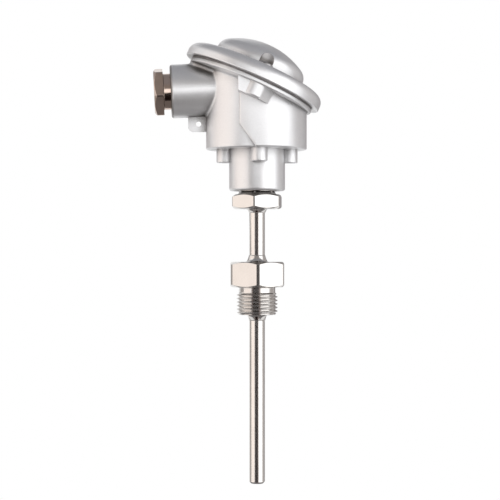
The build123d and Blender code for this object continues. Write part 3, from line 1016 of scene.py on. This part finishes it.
def add_flag(name, place, target, width, height, tone):
    """A card that only reflections see, as a studio's black or grey flag."""
    half_wide, half_high = width / 2, height / 2
    mesh = bpy.data.meshes.new(name)
    corners = [(-1, -1), (1, -1), (1, 1), (-1, 1)]
    mesh.from_pydata([(x * half_wide, y * half_high, 0) for x, y in corners], [], [(0, 1, 2, 3)])
    card = bpy.data.objects.new(name, mesh)
    face_target(card, place, target)
    material = bpy.data.materials.new(name)
    material.use_nodes = True
    tree = material.node_tree
    glow = put(tree, "ShaderNodeEmission", Color=(*tone, 1))
    connect(tree, glow.outputs[0], tree.nodes["Material Output"].inputs["Surface"])
    mesh.materials.append(material)
    card.visible_camera = False
    card.visible_diffuse = False
    card.visible_shadow = False


class SENSOR_OT_stage(Operator):
    """Set up the camera, the softboxes, the flags, the floor and the white room"""

    bl_idname = "sensor.stage"
    bl_label = "Studio"

    def execute(self, context):
        scene, studio = context.scene, context.scene.sensor_studio
        scene.view_settings.view_transform = "Standard"
        back, right = view_axes(studio.view_turn)
        data = bpy.data.cameras.new("Camera")
        data.lens, data.sensor_width = studio.lens, 36
        data.clip_start, data.clip_end = 0.05, 20
        camera = bpy.data.objects.new("Camera", data)
        camera.location = (
            back * studio.view_distance
            + right * studio.view_slide
            + Vector((0, 0, studio.view_height))
        )
        camera.rotation_euler = (-back).to_track_quat("-Z", "Y").to_euler()
        scene.collection.objects.link(camera)
        scene.camera = camera

        world = bpy.data.worlds.new("White room")
        world.use_nodes = True
        scene.world = world
        tree = world.node_tree
        background = tree.nodes["Background"]
        background.inputs["Color"].default_value = (1, 1, 1, 1)
        strength = map_range(tree, seen_directly(tree), 0.0, 1.0, studio.ambient, 1.0)
        connect(tree, strength, background.inputs["Strength"])

        turn, level = studio.view_turn, studio.lamp_level
        middle, card_place = (0, 0, 0.03), 1.02
        for name, bearing, height, distance, width, tall, radiance, tint in (
            ("Front softbox", -2, 0.04, 1.0, 1.30, 0.56, 1.75, (1, 1, 1)),
            ("Right softbox", 54, 0.08, 0.8, 0.75, 1.0, 1.8, (1, 1, 1)),
            ("Left softbox", -66, 0.08, 0.8, 0.75, 1.0, 1.28, (1, 0.91, 0.85)),
            ("High left softbox", -98, 0.23, 0.8, 0.30, 0.42, 1.2, (1, 0.91, 0.85)),
        ):
            place = studio_place(turn, bearing, height, distance)
            add_softbox(name, place, middle, width, tall, radiance * level, tint)
            behind = studio_place(turn, bearing, height, card_place * distance)
            add_flag(f"{name} back", behind, middle, width, tall, (0, 0, 0))

        for name, bearing, height, distance, width, tall, tone in (
            ("Dark camera flag", -8, -0.065, 0.145, 0.108, 0.27, (0.012, 0.007, 0.006)),
            ("Brown camera flag", -7, -0.065, 0.160, 0.172, 0.27, (0.34, 0.27, 0.25)),
            ("Neck flag", -24, 0.072, 0.16, 0.05, 0.035, (0.05, 0.04, 0.04)),
            ("High left flag", -142, 0.25, 0.7, 0.50, 0.4, (0.45, 0.43, 0.43)),
            ("Low left flag", -112, -0.25, 0.7, 0.50, 0.6, (0.45, 0.42, 0.40)),
            ("Right flag", 107, 0.05, 0.7, 0.45, 1.2, (0.50, 0.47, 0.46)),
            ("Right rear flag", 150, 0.05, 0.7, 0.58, 1.2, (0.36, 0.34, 0.34)),
            ("Front header", 0, 0.51, 0.75, 1.60, 0.48, (0.32, 0.30, 0.29)),
        ):
            place = studio_place(turn, bearing, height, distance)
            add_flag(name, place, (0, 0, height), width, tall, tone)
        add_flag("Ceiling flag", (0, 0, 0.75), (0, 0, 0), 1.5, 1.5, (0.30, 0.30, 0.32))
        low = studio.floor_height + 0.005
        add_flag("Ground flag", (0, 0, low), (0, 0, 1), 0.7, 0.7, (0.20, 0.19, 0.19))

        self.add_floor(studio)
        return {"FINISHED"}

    def add_floor(self, studio):
        """A pale floor under the sensor that keeps its shadow and is clear from below."""
        mesh = bpy.data.meshes.new("Floor")
        half, height = 4.0, studio.floor_height
        corners = [(-half, -half), (half, -half), (half, half), (-half, half)]
        mesh.from_pydata([(x, y, height) for x, y in corners], [], [(0, 1, 2, 3)])
        floor = bpy.data.objects.new("Floor", mesh)
        bpy.context.scene.collection.objects.link(floor)
        material = bpy.data.materials.new("Pale floor")
        material.use_nodes = True
        tree = material.node_tree
        shader = tree.nodes["Principled BSDF"]
        shader.inputs["Base Color"].default_value = (0.93, 0.93, 0.93, 1)
        shader.inputs["Roughness"].default_value = 0.9
        glow = put(tree, "ShaderNodeEmission").outputs[0]
        lit = put(tree, "ShaderNodeMixShader", floor_white(tree), shader.outputs[0], glow)
        below = put(tree, "ShaderNodeNewGeometry").outputs["Backfacing"]
        seen = put(tree, "ShaderNodeLightPath").outputs["Is Camera Ray"]
        clear = put(tree, "ShaderNodeBsdfTransparent").outputs[0]
        open_share = math_node(tree, "MULTIPLY", below, seen)
        one_way = put(tree, "ShaderNodeMixShader", open_share, lit.outputs[0], clear)
        connect(tree, one_way.outputs[0], tree.nodes["Material Output"].inputs["Surface"])
        mesh.materials.append(material)


STEPS = (
    SENSOR_OT_protection_tube,
    SENSOR_OT_process_fitting,
    SENSOR_OT_head_adapter,
    SENSOR_OT_gland,
    SENSOR_OT_castings,
    SENSOR_OT_screws,
    SENSOR_OT_terminals,
    SENSOR_OT_element,
    SENSOR_OT_stage,
)


class SENSOR_PT_panel(Panel):
    """Sizes, colours and steps of the sensor"""

    bl_idname = "SENSOR_PT_panel"
    bl_label = "Sensor"
    bl_space_type = "VIEW_3D"
    bl_region_type = "UI"
    bl_category = "Sensor"

    def draw(self, context):
        layout = self.layout
        for owner in ("sensor_sizes", "sensor_finishes", "sensor_studio"):
            box = layout.box()
            group = getattr(context.scene, owner)
            for key in group.__annotations__:
                box.prop(group, key)
        for step in STEPS:
            layout.operator(step.bl_idname)


CLASSES = (SensorSizes, SensorFinishes, SensorStudio, *STEPS, SENSOR_PT_panel)


def register():
    for item in CLASSES:
        bpy.utils.register_class(item)
    bpy.types.Scene.sensor_sizes = PointerProperty(type=SensorSizes)
    bpy.types.Scene.sensor_finishes = PointerProperty(type=SensorFinishes)
    bpy.types.Scene.sensor_studio = PointerProperty(type=SensorStudio)


def unregister():
    del bpy.types.Scene.sensor_studio
    del bpy.types.Scene.sensor_finishes
    del bpy.types.Scene.sensor_sizes
    for item in reversed(CLASSES):
        bpy.utils.unregister_class(item)


def main():
    register()
    for step in STEPS:
        group, action = step.bl_idname.split(".")
        getattr(getattr(bpy.ops, group), action)()
    bpy.context.view_layer.update()


if __name__ == "__main__":
    main()
